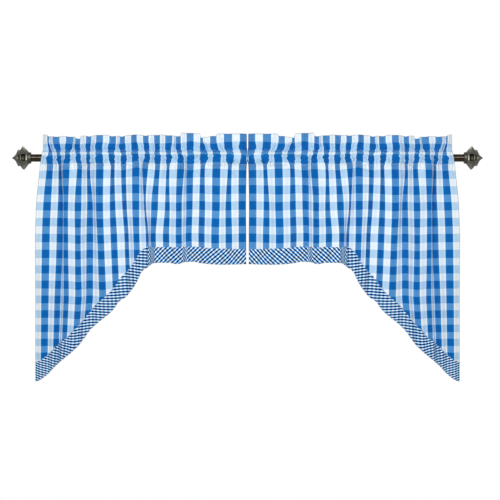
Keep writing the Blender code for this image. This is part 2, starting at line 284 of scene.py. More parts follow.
# One row a repeat of the gingham, from the outer edge in: which way its light check turns, the tops of its
# light and dark check, how far its rows sag, and how much of both checks shows at each level.
foldTable = (
    # side, tops, sag, header, neck, stitch, rod, foot, middle, low, tail
    (1, (86, 80), (3, 4, 1.5, -1), (18, 2), (21, 4), (25, 10), (21, 23), (27, 20), (28, 26), (27, 26), (24, 25)),
    (1, (80, 78), (2, 4, 1, 0), (16, 24), (18, 21), (19, 11), (15, 16), (23, 7), (28, 17), (28, 21), (24, 20)),
    (1, (81, 78), (2, 0, 0.5, 0), (26, 26), (18, 26), (20, 15), (13, 20), (8, 24), (3, 15), (4, 15), (13, 17)),
    (1, (79, 71), (3, -2.5, 1, 5), (8, 17), (9, 19), (25, 13), (21, 17), (30, 15), (27, 22), (28, 18), (26, 22)),
    (1, (82, 79), (1.5, 2, 0, -1.5), (24, 17), (22, 16), (26, 10), (22, 12), (21, 8), (24, 19), (24, 23), (18, 24)),
    (1, (83, 84), (-2.5, -2, 2.5, 4.5), (20, 24), (19, 26), (24, 22), (22, 27), (25, 25), (13, 25), (17, 23), (25, 24)),
    (-1, (85, 80), (2, -1, -1.5, 0), (23, 26), (19, 30), (22, 22), (21, 23), (28, 14), (25, 21), (25, 24), (25, 24)),
    (-1, (82, 79), (2, 3.5, -4, -2), (12, 20), (10, 26), (26, 18), (21, 23), (24, 19), (26, 17), (28, 16), (27, 16)),
    (-1, (84, 86), (-3, -9, -5, 0), (23, 21), (21, 26), (20, 25), (18, 26), (22, 28), (19, 27), (16, 23), (15, 23)),
    (-1, (85, 82), (-1, -4.5, -2, -1), (23, 21), (20, 21), (25, 16), (19, 24), (8, 22), (17, 7), (24, 11), (24, 10)),
    (-1, (85, 84), (2, 1.5, 0.5, -2.5), (20, 22), (20, 18), (18, 20), (13, 26), (27, 17), (19, 25), (5, 20), (5, 20)),
    (-1, (86, 83), (-0.5, 0, 1.5, -1), (19, 27), (19, 24), (23, 18), (18, 23), (25, 10), (27, 17), (27, 23), (26, 23)),
    (-1, (82, 80), (2, -2.5, 2, 3.5), (12, 18), (15, 20), (24, 16), (20, 23), (30, 26), (23, 22), (24, 23), (24, 22)),
    (-1, (93, 92), (-5, 3, -3, -4), (22, 26), (20, 26), (20, 23), (10, 29), (7, 26), (15, 24), (13, 23), (13, 23)),
    (1, (90, 74), (0.5, -3.5, -3, -1.5), (26, 7), (24, 20), (26, 25), (20, 30), (27, 14), (26, 20), (26, 21), (25, 21)),
    (1, (78, 81), (1.5, -5, 0, 3), (29, 22), (18, 28), (21, 27), (17, 30), (30, 28), (27, 28), (26, 28), (25, 28)),
    (1, (90, 89), (-4, 0, -1, 1), (29, 29), (24, 30), (23, 24), (18, 30), (29, 12), (22, 20), (25, 23), (24, 23)),
    (1, (90, 90), (-4.5, 3, -3, -1.5), (30, 24), (23, 29), (29, 22), (26, 23), (28, 27), (28, 26), (25, 27), (25, 26)),
)

# How far each part of the cloth hangs towards the room (-) or the wall (+), height by height.
hang = {
    "skirt": ((-830, -7), (-515, -11), (-296, -14), (-178, -17), (-60, -21), (-28, -23.5)),
    "pocketFront": ((-28, -23.5), (-14, -24.2), (0, -24.2), (12, -23.8), (19, -18), (24, -7), (28, 0), (32, 0)),
    "pocketBack": ((32, 0), (28, 1), (22, 15), (4, 25.5), (-12, 24.5), (-23, 6), (-26.5, -18)),
    "pocketStep": 4.0,
}

# How much cloth lies between the top edge and a height: at the rod and a millimetre further down, and knots
# of height and cloth over the pocket, of which the last is where the heading's top row of checks ends.
flatRule = {
    "atRod": 100.9,
    "perHeight": 1.0125,
    "pocket": ((-28, 129.3), (-21, 116.7), (12, 86.7), (23, 56.7), (54, 26.7)),
    "sagFade": (-5.0, 20.0),
}

# The bottom edge: distance out, height, and how tall the border stands there.
hemTable = (
    # out, height, tall
    (3, -392, 53), (90, -394, 58), (126, -393, 58), (174, -388, 57), (200, -383, 55), (226, -384, 56),
    (262, -392, 60), (290, -387, 58), (325, -387, 57), (350, -389, 60), (366, -402, 73), (384, -413, 75),
    (392, -423, 77), (404, -446, 85), (416, -469, 86), (450, -513, 86), (473, -529, 80), (482, -539, 79),
    (494, -557, 83), (548, -605, 79), (571, -624, 78), (590, -646, 74), (604, -667, 77), (617, -684, 78),
    (648, -716, 79), (670, -734, 71), (704, -763, 71), (738, -798, 72), (770, -822, 72), (785, -827, 72),
)


def curveThrough(knots, values, at):
    # smooth curve through a short table that never overshoots it, held level beyond its ends
    knots = np.asarray(knots, float)
    values = np.asarray(values, float)
    rises = (np.diff(values, axis=0).T / np.diff(knots)).T
    before, after = rises[:-1], rises[1:]
    even = 2 * before * after / np.where(before * after > 0, before + after, 1.0)
    slopes = np.concatenate([rises[:1], np.where(before * after > 0, even, 0.0), rises[-1:]])
    at = np.clip(np.asarray(at, float), knots[0], knots[-1])
    i = np.clip(np.searchsorted(knots, at, side="right") - 1, 0, len(knots) - 2)
    gap = knots[i + 1] - knots[i]
    t = (at - knots[i]) / gap
    if values.ndim > 1:
        gap, t = gap[..., None], t[..., None]
    start = (1 + 2 * t) * (1 - t) ** 2 * values[i] + t * (1 - t) ** 2 * gap * slopes[i]
    end = t * t * (3 - 2 * t) * values[i + 1] + t * t * (t - 1) * gap * slopes[i + 1]
    return start + end


def smoothAcross(rows, passes):
    # rounds the folds a little, with the side edges held
    for _ in range(passes):
        rows[:, 1:-1] = (rows[:, :-2] + 2 * rows[:, 1:-1] + rows[:, 2:]) / 4
    return rows


# The folds at every 2 mm of height and every column, from the table of what shows.
checkCount = 2 * len(foldTable)
standOffReach = 14  # columns either side that a layer can touch
columnSteps = checkCount * panel["columnsPerCheck"]
columnPlace = np.arange(columnSteps + 1) / panel["columnsPerCheck"]
flatAcross = columnPlace * panel["check"]
tableStep = 2.0
tableHeights = np.arange(-840.0, 106.0, tableStep)


def foldTables():
    shown = np.array([[width for pair in row[3:] for width in pair] for row in foldTable], float)
    shown = shown.reshape(len(foldTable), len(panel["heights"]), 2).transpose(1, 0, 2)
    shown = shown.reshape(len(panel["heights"]), checkCount)
    knots = np.array(panel["heights"][::-1], float)
    shown = np.clip(curveThrough(knots, shown[::-1], tableHeights), panel["leastShown"], panel["check"])
    edges = np.array([panel["outerEdge"][::-1], panel["innerEdge"][::-1], panel["foldDepth"][::-1]]).T
    outer, inner, depth = curveThrough(knots, edges, tableHeights).T[:, :, None]
    travelled = np.hstack([np.zeros((len(tableHeights), 1)), np.cumsum(shown, axis=1)])
    out = outer - travelled * (outer - inner) / travelled[:, -1:]
    tailHeight = panel["heights"][-1]
    tail = np.clip((tailHeight - tableHeights) / (tailHeight - panel["tipHeight"]), 0, 1)[:, None]
    out = outer + (out - outer) * (1 - panel["tipDraw"] * tail)
    leans = np.array([row[0] * way for row in foldTable for way in (1, -1)], float)
    steps = -leans * np.sqrt(panel["check"] ** 2 - shown**2)
    wave = np.hstack([np.zeros((len(tableHeights), 1)), np.cumsum(steps, axis=1)])
    reach = panel["driftReach"]
    padded = np.pad(wave, ((0, 0), (reach, reach)), mode="edge")
    drift = sum(padded[:, i : i + wave.shape[1]] for i in range(2 * reach + 1)) / (2 * reach + 1)
    wave = depth * np.tanh((wave - drift) / depth)
    # between two check edges: even across, eased in depth
    first = np.minimum(columnPlace.astype(int), checkCount - 1)
    part = columnPlace - first
    eased = 0.5 - 0.5 * np.cos(np.pi * part)
    outFine = out[:, first] * (1 - part) + out[:, first + 1] * part
    waveFine = wave[:, first] * (1 - eased) + wave[:, first + 1] * eased
    # how far the rows of checks hang below their even places, steady between the dark stripes' middles
    darkMiddles = 2 * np.arange(len(foldTable)) + 1.5
    sags = [np.interp(columnPlace, darkMiddles, level) for level in np.array([row[2] for row in foldTable], float).T]
    sagHeights, sagPicks = zip(*sagLevels[::-1])
    sagFine = curveThrough(sagHeights, [sags[pick] for pick in sagPicks], tableHeights)
    return smoothAcross(outFine, 3), smoothAcross(waveFine, 5), sagFine


outTable, waveTable, sagTable = foldTables()


def foldAt(heights, *tables):
    # what the tables hold at an array of heights, one column of the cloth a column
    place = np.clip((heights - tableHeights[0]) / tableStep, 0, len(tableHeights) - 1.001)
    row = place.astype(int)
    part = place - row
    column = np.broadcast_to(np.arange(heights.shape[1]), heights.shape)
    return [table[row, column] * (1 - part) + table[row + 1, column] * part for table in tables]


def hemHeights():
    # the bottom edge is given over the distance out, so each column looks for its own place on it
    outs, heights, _ = np.array(hemTable, float).T
    height = np.full((1, columnSteps + 1), -400.0)
    for _ in range(14):
        height = (height + curveThrough(outs, heights, foldAt(height, outTable)[0])) / 2
    return height[0]


def topHeights():
    # tops of the checks, stepping from one to the next where a fold tucks under its neighbour
    tops = np.array([top for row in foldTable for top in row[1]], float)
    place = np.clip(columnPlace - 0.5, 0, len(tops) - 1)
    first = np.minimum(place.astype(int), len(tops) - 2)
    change = tops[first + 1] - tops[first]
    spread = np.where(np.abs(change) > panel["tuckStep"], panel["tuckShare"], panel["slopeShare"])
    part = np.clip((place - first - 0.5) / spread + 0.5, 0, 1)
    return tops[first] + change * part * part * (3 - 2 * part)


hemLine = hemHeights()
topLine = topHeights()


# The small unevenness of hung cotton: slow waves that never line up.
rippleWaves = (
    # size, length across, length down, start
    (0.44, 23.0, 67.0, 0.4), (0.36, 14.3, -118.0, 2.1), (0.28, 37.0, 41.0, 4.0),
)

# The tight little gathers that the rows of stitches draw up. Each wave wanders from side to side, leans down
# the cloth, and dies out above and below its seam. Between the seams the gathers lean one way and the other.
gathers = {
    "waves": (
        # size, length, start, how far it wanders, over what length, lean
        (1.0, 2.0, 0.0, 1.6, 19.0, 1.0), (0.8, 2.9, 1.9, 2.0, 31.0, -1.3),
    ),
    "topSeam": (1.6, 13.0, 7.0),  # height of the gathers, reach above the seam, reach below it
    "footSeam": (1.3, 8.0, 24.0),
    "slant": (26.0, 41.0),  # over what height the waves lean by one, and over what length that changes
    "uneven": (0.7, 0.3, 29.0, 1.0),  # their mean share, how much it varies, over what length, start
    "turns": (
        # size, length down, how far it wanders, over what length, start
        (1.0, 2.5, 2.4, 24.0, 0.0), (0.8, 3.9, 2.8, 33.0, 1.2),
    ),
    "turnsMiddle": 6.0,
    "turnsFade": (16.0, 48.0),
}


def ripple(across, height):
    return sum(size * np.sin(across / wide + height / tall + start) for size, wide, tall, start in rippleWaves)


def nearSeam(height, seam, tall, above, below):
    # how tall the gathers stand at a height
    return tall * np.exp(-np.where(height > seam, (height - seam) / above, (seam - height) / below))


def puckers(across, height):
    tall, wide = gathers["slant"]
    slant = height / tall * np.sin(across / wide)
    rise = 0.0
    for size, length, start, wander, over, lean in gathers["waves"]:
        rise = rise + size * np.sin(across / length + start + wander * np.sin(across / over) + lean * slant)
    mean, change, length, start = gathers["uneven"]
    uneven = mean + change * np.sin(across / length + start)
    top = nearSeam(height, stitching["pocketTop"], *gathers["topSeam"])
    foot = nearSeam(height, stitching["pocketFoot"], *gathers["footSeam"])
    return rise * uneven * (top + foot)


def crinkles(across, height):
    # how far the gathers lean to one side or the other between the two rows of stitches and just beyond
    lean = 0.0
    for size, length, wander, over, start in gathers["turns"]:
        lean = lean + size * np.sin(height / length + wander * np.sin(across / over + start))
    return lean * np.interp(np.abs(height - gathers["turnsMiddle"]), gathers["turnsFade"], (1, 0))


def pathRows(turns):
    # a smooth run through (height, back) turns, in even steps along it
    turns = np.array(turns, float)
    knots = np.concatenate(([0.0], np.cumsum(np.hypot(*np.diff(turns, axis=0).T))))
    count = int(round(knots[-1] / hang["pocketStep"]))
    along = np.linspace(0, knots[-1], count + 1)
    return curveThrough(knots, turns, along), along


def clothRows():
    # every row of a panel from its bottom edge up the front, over the top and down the back of the pocket
    hem = hemLine[None, :]
    top = topLine[None, :]
    skirtHeights, skirtBack = np.array(hang["skirt"], float).T
    share = 1 - (1 - np.linspace(0, 1, panel["skirtRows"], endpoint=False)[:, None]) ** panel["skirtGrading"]
    skirtFoot = hang["pocketFront"][0][0]
    lowest = hem + panel["hemLift"]
    heights = [lowest + share * (skirtFoot - lowest)]
    backs = [curveThrough(skirtHeights, skirtBack, heights[0])]
    apart = [np.zeros_like(heights[0])]
    flats = [flatRule["atRod"] - flatRule["perHeight"] * heights[0]]
    rows, _ = pathRows(hang["pocketFront"])
    for height, back in rows:
        heights.append(np.full_like(hem, height))
        backs.append(np.full_like(hem, back))
        apart.append(np.full_like(hem, panel["layerHalf"]))
        flats.append(np.full_like(hem, np.interp(height, *np.array(flatRule["pocket"], float).T)))
    start = hang["pocketFront"][-1][0]
    rowFoot, rowCloth = flatRule["pocket"][-1]
    lift = np.linspace(0, 1, panel["headerRows"] + 1)[1:]
    for front in (True, False):
        for part in lift[:-1] if front else lift[::-1]:
            height = start + part * (top - start)
            heights.append(height)
            backs.append(np.zeros_like(hem))
            bulge = panel["headerBulge"] * math.sin(math.pi * min(part, panel["headerCloses"]))
            width = panel["layerHalf"] + bulge if part < 1 else 0.0
            apart.append(np.full_like(hem, width if front else -width))
            inTopRow = rowCloth * (top - height) / (top - rowFoot)
            fromTop = np.where(height > rowFoot, inTopRow, rowFoot + rowCloth - height)
            flats.append(fromTop if front else -fromTop)
    rows, along = pathRows(hang["pocketBack"])
    for (height, back), gone in zip(rows, along):
        heights.append(np.full_like(hem, height))
        backs.append(np.full_like(hem, back))
        apart.append(np.full_like(hem, -panel["layerHalf"]))
        flats.append(np.full_like(hem, start - rowFoot - rowCloth - gone))
    heights, backs, apart, flats = (np.vstack(rows) for rows in (heights, backs, apart, flats))
    # the tail's checks close up a little as it narrows; no sag over the top or behind
    flats = flats + panel["tailCloses"] * np.clip(panel["tailFrom"] - heights, 0, None) ** 2
    sag = foldAt(heights, sagTable)[0] * np.interp(flats, flatRule["sagFade"], (0, 1))
    return heights, backs, apart, flats - sag


def standOff(out, back, distance):
    # a layer lying that far in front (+) or behind (-), as a ball of that radius rolled along the folds would
    best = np.where(distance == 0, back, np.inf)
    last = out.shape[1] - 1
    for step in range(-standOffReach, standOffReach + 1):
        column = np.clip(np.arange(last + 1) + step, 0, last)
        gap = distance**2 - (out[:, column] - out) ** 2
        bulge = np.sqrt(np.clip(gap, 0, None))
        ahead = np.sign(distance) * back[:, column] - bulge
        best = np.where((gap >= 0) & (distance != 0), np.minimum(best, ahead), best)
    return np.where(distance < 0, -best, best)


def placeCloth(heights, backs, apart):
    # (out, back, height) of the cloth, with its folds, gathers and layers
    out, wave = foldAt(heights, outTable, waveTable)
    back = backs + wave
    across = np.broadcast_to(flatAcross, heights.shape)
    lift = ripple(across, heights) + puckers(across, heights)
    side, deep = np.gradient(out, axis=1), np.gradient(back, axis=1)
    length = np.maximum(np.hypot(side, deep), 1e-9)
    sideEdges = np.clip(np.minimum(across, flatAcross[-1] - across) / panel["check"], 0, 1)
    out = out - deep / length * lift + crinkles(across, heights) * sideEdges
    back = back + side / length * lift
    back = standOff(out, back, np.broadcast_to(apart, heights.shape))
    return np.stack([out, back, heights], axis=2)


def clearOfRod(points, radius):
    # cloth that would cut into the rod lies on it instead
    reach = np.hypot(points[:, :, 1], points[:, :, 2])
    push = np.maximum(radius / np.maximum(reach, 1e-6), 1.0)
    points[:, :, 1] *= push
    points[:, :, 2] *= push
    return points


def sideHems(points, flats):
    # the side edges turned behind the cloth
    count = panel["sideHemColumns"]
    behind = points.copy()
    gap = np.full(flats.shape, -panel["sideHemGap"])
    behind[:, :, 1] = standOff(points[:, :, 0], points[:, :, 1], gap)
    outer, inner = slice(count, 0, -1), slice(-2, -2 - count, -1)
    across = np.broadcast_to(flatAcross, flats.shape)
    wide = np.concatenate([behind[:, outer], points, behind[:, inner]], axis=1)
    acrossWide = np.concatenate([-across[:, outer], across, 2 * across[:, -1:] - across[:, inner]], axis=1)
    flatsWide = np.concatenate([flats[:, outer], flats, flats[:, inner]], axis=1)
    return wide, acrossWide, flatsWide


def gridPiece(name, points, hand, material):
    # a sheet from a bmesh grid, one vertex a row and column; returns it with each vertex's row and column
    rows, columns, _ = points.shape
    mesh = bmesh.new()
    bmesh.ops.create_grid(mesh, x_segments=columns - 1, y_segments=rows - 1, size=1.0)
    sheetRows, sheetColumns = [], []
    for vertex in mesh.verts:
        column = round((vertex.co.x + 1) / 2 * (columns - 1))
        row = round((vertex.co.y + 1) / 2 * (rows - 1))
        out, back, height = points[row, column]
        vertex.co = (hand * out * millimetre, back * millimetre, height * millimetre)
        sheetRows.append(row)
        sheetColumns.append(column)
    if hand > 0:
        bmesh.ops.reverse_faces(mesh, faces=mesh.faces)
    piece = finishPiece(name, mesh, material)
    return piece, np.array(sheetRows), np.array(sheetColumns)


def finishPiece(name, mesh, material, sharpAngle=None):
    data = bpy.data.meshes.new(name)
    mesh.to_mesh(data)
    mesh.free()
    data.polygons.foreach_set("use_smooth", [True] * len(data.polygons))
    if sharpAngle is not None:
        data.set_sharp_from_angle(angle=math.radians(sharpAngle))
    data.materials.append(material)
    piece = bpy.data.objects.new(name, data)
    bpy.context.scene.collection.objects.link(piece)
    return piece


def giveThickness(piece, thickness):
    solid = piece.modifiers.new("thickness", "SOLIDIFY")
    solid.thickness = thickness * millimetre
    solid.offset = 0.0


def cornerVertices(data):
    corners = np.zeros(len(data.loops), int)
    data.loops.foreach_get("vertex_index", corners)
    return corners


def layFlat(piece, flatPoints):
    # the cloth's own flat measure, in metres, for the weave to follow
    layer = piece.data.uv_layers.new(name="flatCloth")
    layer.uv.foreach_set("vector", (flatPoints * millimetre).astype(np.float32).ravel())


def makePanel(hand, name, node, material):
    heights, backs, apart, flats = clothRows()
    points = placeCloth(heights, backs, apart)
    clear = np.full(heights.shape, rod["radius"] + panel["rodClear"])
    hemWidth = panel["sideHemColumns"] + 1
    clear[:, :hemWidth] += panel["sideHemGap"] + panel["hemClear"]
    clear[:, -hemWidth:] += panel["sideHemGap"] + panel["hemClear"]
    points = clearOfRod(points, clear)
    points, across, flats = sideHems(points, flats)
    # at the rod's height the inner edge is turned a few millimetres further round
    edge = np.interp(across - flatAcross[-1], panel["edgeTurnSpan"], (0, 1))
    fromRod = (points[:, :, 2] - panel["edgeTurnHeight"]) / panel["edgeTurnSpread"]
    across = across + panel["edgeTurn"] * edge * np.exp(-fromRod**2)
    piece, rows, columns = gridPiece(name, points, hand, material)
    corners = cornerVertices(piece.data)
    rows, columns = rows[corners], columns[corners]
    layFlat(piece, np.stack([across[rows, columns], flats[rows, columns] + panel["checkStart"]], axis=1))
    giveThickness(piece, panel["thickness"])
    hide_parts(node)
    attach(piece, "root")
    return piece


# The border: a strip of small gingham sewn over the bottom edge, turned up behind it.
border = {
    "check": 5.25,
    "thickness": 0.6,
    "forward": 1.5,  # how far before the panel it lies, and at its seam
    "seamForward": 1.0,
    "shares": (0.0, 0.12, 0.25, 0.37, 0.5, 0.62, 0.75, 0.87, 1.0),  # its rows, from foot to seam
    "footDrop": 0.9,
    "footHalf": 0.6,
    "turnedUp": (0.6, 4.0, 8.0, 12.0),
    "mitreOut": 368.0,
    "lineSteps": 240,
    "tucks": ((232.0, 20.0, 26.0), (354.0, 24.0, 40.0)),  # where, how wide it shows, extra cloth in it
    "lay": (
        # distance out, way the rows face in degrees, their repeat, way the columns face, their repeat
        (20, 42, 10.7, 133, 14.8), (57, 40, 10.0, 136, 14.2), (87, 47, 10.6, 134, 15.0), (117, 50, 11.3, 135, 15.0),
        (146, 50, 11.3, 140, 13.8), (176, 47, 10.8, 142, 12.6), (206, 47, 10.6, 138, 13.0), (269, 48, 11.0, 136, 14.6),
        (300, 48, 11.0, 139, 14.1), (324, 42, 10.4, 136, 13.7), (366, 45, 10.5, 136, 13.5),
        (370, 91, 11.4, 2, 13.2), (402, 97, 11.1, 1, 12.2), (424, 99, 10.4, -3, 12.0), (446, 89, 10.9, -4, 13.9),
        (480, 84, 10.9, -5, 15.2), (513, 91, 10.3, -3, 15.2), (535, 94, 10.2, -2, 14.6), (557, 95, 9.9, -3, 14.0),
        (580, 86, 10.3, -2, 13.5), (602, 81, 10.4, 1, 12.7), (624, 80, 10.2, 2, 13.0), (646, 88, 10.3, 3, 13.2),
        (669, 107, 9.8, 5, 11.2), (691, 113, 9.2, 4, 10.6), (713, 106, 9.7, 4, 11.4), (735, 106, 8.8, 0, 11.2),
        (757, 107, 8.4, 0, 11.5), (785, 107, 8.4, 0, 11.5),
    ),
    "flatWidth": 1.36,
    "flatLength": 0.075,
}


def borderHeights(share):
    outs, _, tall = np.array(hemTable, float).T
    out = foldAt(hemLine[None, :], outTable)[0]
    return hemLine[None, :] + share * curveThrough(outs, tall, out)


def borderRows():
    # from the turned-up edge behind, round the bottom edge, up the front to the seam
    rows, skirt = [], np.array(hang["skirt"], float).T
    for up in border["turnedUp"][::-1]:
        rows.append((hemLine[None, :] + up, -border["forward"]))
    foot = hemLine[None, :] - border["footDrop"]
    rows += [(foot, -border["footHalf"]), (foot, border["footHalf"])]
    for share in border["shares"]:
        rows.append((borderHeights(share), border["forward"] if share < 1 else border["seamForward"]))
    made = [placeCloth(h, curveThrough(*skirt, h), np.full_like(h, forward)) for h, forward in rows]
    return np.concatenate(made, axis=0)


def withTucks(out):
    # distance along the strip's cloth, which gains where a tuck hides some
    along = out
    for middle, width, extra in border["tucks"]:
        part = np.clip((out - middle) / width + 0.5, 0, 1)
        along = along + extra * part * part * (3 - 2 * part)
    return along


def layChecks(rows, out, height):
    # flat measures of the strip, from how its checks lie at stations along its middle line
    outs, hems, tall = np.array(hemTable, float).T
    places, *columns = np.array(rows, float).T
    lineOut = np.linspace(places[0], places[-1], border["lineSteps"])
    lineHeight = curveThrough(outs, hems + tall / 2, lineOut)
    nearest = np.array([np.argmin((lineOut - o) ** 2 + (lineHeight - h) ** 2) for o, h in zip(out, height)])
    lineAlong, along = withTucks(lineOut), withTucks(out)
    measures = []
    for turn, repeat in (columns[:2], columns[2:]):
        turn = np.interp(lineOut, places, np.radians(turn))
        scale = 2 * border["check"] / np.interp(lineOut, places, repeat)
        wave = np.array([np.cos(turn), np.sin(turn)]) * scale
        steps = (wave[:, 1:] + wave[:, :-1]) / 2 * np.diff([lineAlong, lineHeight])
        run = np.concatenate(([0.0], np.cumsum(steps.sum(axis=0))))
        beside = np.array([along - lineAlong[nearest], height - lineHeight[nearest]])
        measures.append(run[nearest] + (wave[:, nearest] * beside).sum(axis=0))
    return np.array(measures)


def biasUv(out, height):
    # the strip is cut on the bias along the middle, and turns at the mitre with its rows near level
    mitre = border["mitreOut"]
    middle = layChecks([row for row in border["lay"] if row[0] <= mitre], out, height)
    down = layChecks([row for row in border["lay"] if row[0] > mitre], out, height)
    return np.where(out > mitre, down, middle).T


def makeBorder(hand, name, node, material):
    points = borderRows()
    piece, rows, columns = gridPiece(name, points, hand, material)
    corners = cornerVertices(piece.data)
    # worked out face by face, so that the mitre is a clean line
    at = points[rows[corners], columns[corners]].reshape(-1, 4, 3)
    slantFace = at[:, :, 0].mean(axis=1, keepdims=True) > border["mitreOut"]
    mitre = border["mitreOut"] + np.where(slantFace, 1e-3, -1e-3)
    kept = np.where(slantFace, np.maximum(at[:, :, 0], mitre), np.minimum(at[:, :, 0], mitre))
    layFlat(piece, biasUv(kept.ravel(), at[:, :, 2].ravel()))
    giveThickness(piece, border["thickness"])
    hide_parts(node)
    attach(piece, "root")
    return piece


# Sewing thread, drawn twice as thick as it is so that a row of stitches shows at all.
stitching = {
    "length": 2.9,
    "pitch": 4.2,
    "radius": 0.42,
    "standsOff": 0.55,
    "pocketTop": 28.0,
    "pocketFoot": -27.0,
    "borderSeam": 0.955,
    "borderFoot": 0.05,
}


def seamLine(heights, backs, forward):
    return placeCloth(heights, backs, np.full_like(heights, forward))[0]


def stitchPlaces(line, hand):
    # where each stitch along a seam lies, as a matrix that turns a unit bead into it
    along = np.concatenate(([0.0], np.cumsum(np.linalg.norm(np.diff(line, axis=0), axis=1))))
    places, half, thick = [], stitching["length"] / 2, stitching["radius"] * millimetre
    for i in range(1, int(along[-1] / stitching["pitch"])):
        ends = [i * stitching["pitch"] + way * half for way in (-1, 1)]
        start, end = (Vector([np.interp(e, along, line[:, k]) for k in range(3)]) * millimetre for e in ends)
        start.x, end.x = start.x * hand, end.x * hand
        turned = (end - start).to_track_quat("Z", "Y").to_matrix().to_4x4()
        size = Matrix.Diagonal((thick, thick, (end - start).length / 2, 1.0))
        places.append(Matrix.Translation((start + end) / 2) @ turned @ size)
    return places


def sew(places):
    # one bead of thread doubled until there is one for each stitch, then each moved to its own place
    bead, beadData = bmesh.new(), bpy.data.meshes.new("bead")
    bmesh.ops.create_uvsphere(bead, u_segments=6, v_segments=4, radius=1.0)
    bead.to_mesh(beadData)
    bead.free()
    mesh = bmesh.new()
    mesh.from_mesh(beadData)
    bpy.data.meshes.remove(beadData)
    beadSize = len(mesh.verts)
    while len(mesh.verts) < len(places) * beadSize:
        bmesh.ops.duplicate(mesh, geom=mesh.verts[:] + mesh.edges[:] + mesh.faces[:])
    mesh.verts.ensure_lookup_table()
    bmesh.ops.delete(mesh, geom=mesh.verts[len(places) * beadSize :], context="VERTS")
    mesh.verts.ensure_lookup_table()
    for i, matrix in enumerate(places):
        bmesh.ops.transform(mesh, matrix=matrix, verts=mesh.verts[i * beadSize : (i + 1) * beadSize])
    return mesh


def makeStitching(hand, name, material):
    hem = hemLine[None, :]
    off = stitching["standsOff"]
    turns, skirt = np.array(hang["pocketFront"], float), np.array(hang["skirt"], float).T
    places = []
    for level in (stitching["pocketTop"], stitching["pocketFoot"]):
        heights = np.full_like(hem, level)
        backs = np.full_like(hem, np.interp(level, *turns.T))
        places += stitchPlaces(seamLine(heights, backs, panel["layerHalf"] + off), hand)
    for share in (stitching["borderSeam"], stitching["borderFoot"]):
        heights = borderHeights(share)
        line = seamLine(heights, curveThrough(*skirt, heights), border["forward"] + off)
        places += stitchPlaces(line, hand)
    piece = finishPiece(name, sew(places), material)
    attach(piece, "root")
    return piece


rod = {"radius": 13.9, "reach": 821.0, "segments": 96, "edge": 0.8}


def makeRod(name, node, material):
    mesh = bmesh.new()
    turned = Matrix.Rotation(math.pi / 2, 4, "Y")
    bmesh.ops.create_cone(
        mesh, cap_ends=True, segments=rod["segments"], radius1=rod["radius"] * millimetre,
        radius2=rod["radius"] * millimetre, depth=2 * rod["reach"] * millimetre, matrix=turned,
    )
    rims = [edge for edge in mesh.edges if any(len(face.verts) > 4 for face in edge.link_faces)]
    bmesh.ops.bevel(
        mesh, geom=rims, offset=rod["edge"] * millimetre, offset_type="OFFSET", affect="EDGES",
        segments=3, profile=0.5, material=-1,
    )
    # the rim's edges stay sharp, or the normals of the long sides would be pulled round towards the ends
    piece = finishPiece(name, mesh, material, sharpAngle=12)
    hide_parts(node)
    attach(piece, "root")
    return piece
